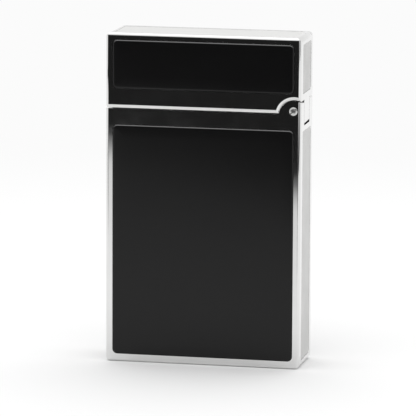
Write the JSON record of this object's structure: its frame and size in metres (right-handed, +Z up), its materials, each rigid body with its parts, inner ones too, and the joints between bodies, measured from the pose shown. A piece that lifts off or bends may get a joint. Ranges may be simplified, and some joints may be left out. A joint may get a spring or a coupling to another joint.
{
  "type": "lighter",
  "caption": "Slim pocket gas lighter with a side-hinged lid, gloss black lacquer panels in a bright chrome frame, thumb roller, burner and refill valve.",
  "frame": {"origin": "middle of the underside, on the surface that the lighter stands on", "axes": "+Z up to the top of the lid, +X to the hinge side, -Y to the front face"},
  "size_m": [0.0362, 0.0118, 0.061],
  "materials": {
    "chrome": "bright plated, mirror polished",
    "satin_plate": "fine satin brushed, inset plate",
    "deck_metal": "plated, softly polished",
    "lacquer": "deep gloss black lacquer",
    "brass": "machined brass",
    "steel": "machined steel",
    "seal_rubber": "matt nitrile rubber",
    "flint_alloy": "dull sintered alloy"
  },
  "bodies": {
    "case": {"case_shell": "chrome", "front_panel": "lacquer", "rear_panel": "lacquer", "left_side_plate": "satin_plate", "right_side_plate": "satin_plate", "base_plate": "satin_plate", "gas_tank": "brass", "tank_cap": "brass", "filling_valve": "brass", "valve_seal": "seal_rubber", "valve_spring": "steel", "flint_tube": "brass", "flint_spring": "steel", "flint_plunger": "brass", "flint": "flint_alloy", "deck": "deck_metal", "deck_screws": "steel", "roller_axle": "steel", "burner_body": "brass", "burner_seal": "seal_rubber", "burner_spring": "steel", "wind_guard": "chrome", "lever_pin": "steel", "lever_spring": "steel", "hinge_pin": "chrome", "lid_spring": "steel", "lid_spring_screw": "steel"},
    "lid": {"lid_shell": "chrome", "lid_front_panel": "lacquer", "lid_rear_panel": "lacquer", "lid_top_plate": "satin_plate", "lid_left_plate": "satin_plate", "lid_right_plate": "satin_plate", "snuffer_bracket": "satin_plate", "snuffer_pin": "steel", "snuffer_spring": "steel"},
    "snuffer": {"snuffer_arm": "chrome"},
    "roller": {"spark_wheel": "steel", "front_roller_drum": "chrome", "rear_roller_drum": "chrome"},
    "lever": {"burner_lever": "steel"},
    "burner": {"burner_stem": "brass"},
    "filling_stem": {"valve_stem": "steel"},
    "flint_screw_body": {"flint_screw": "brass"},
    "flow_screw_body": {"flow_screw": "brass"}
  },
  "joints": [
    {"name": "lid_hinge", "type": "hinge", "parent": "case", "child": "lid", "pos_m": [0.01675, 0, 0.04765], "axis": [0, 1, 0], "range_deg": [0, 95]},
    {"name": "snuffer_rock", "type": "hinge", "parent": "lid", "child": "snuffer", "pos_m": [0.006, 0, 0.0574], "axis": [0, 1, 0], "range_deg": [0, 6], "stiffness_Nm_per_rad": 0.01},
    {"name": "roller_spin", "type": "hinge", "parent": "case", "child": "roller", "pos_m": [-0.0124, 0, 0.0508], "axis": [0, 1, 0], "continuous": true},
    {"name": "lever_rock", "type": "hinge", "parent": "case", "child": "lever", "pos_m": [0.005, 0, 0.0479], "axis": [0, 1, 0], "range_deg": [0, 5.7]},
    {"name": "burner_lift", "type": "slide", "parent": "case", "child": "burner", "axis": [0, 0, 1], "range_m": [0, 0.0008], "stiffness_N_per_m": 100, "deforming": ["burner_spring"]},
    {"name": "filling_stem_press", "type": "slide", "parent": "case", "child": "filling_stem", "axis": [0, 0, 1], "range_m": [0, 0.001], "stiffness_N_per_m": 300, "deforming": ["valve_spring"]},
    {"name": "flint_screw_turn", "type": "hinge", "parent": "case", "child": "flint_screw_body", "pos_m": [-0.0124, 0, 0.0005], "axis": [0, 0, 1], "continuous": true},
    {"name": "flow_screw_turn", "type": "hinge", "parent": "case", "child": "flow_screw_body", "pos_m": [0.011, 0, 0.0005], "axis": [0, 0, 1], "range_deg": [-180, 180]}
  ],
  "couplings": [
    {"joint": "lever_rock", "follows": "burner_lift", "rad_per_m": 124}
  ]
}
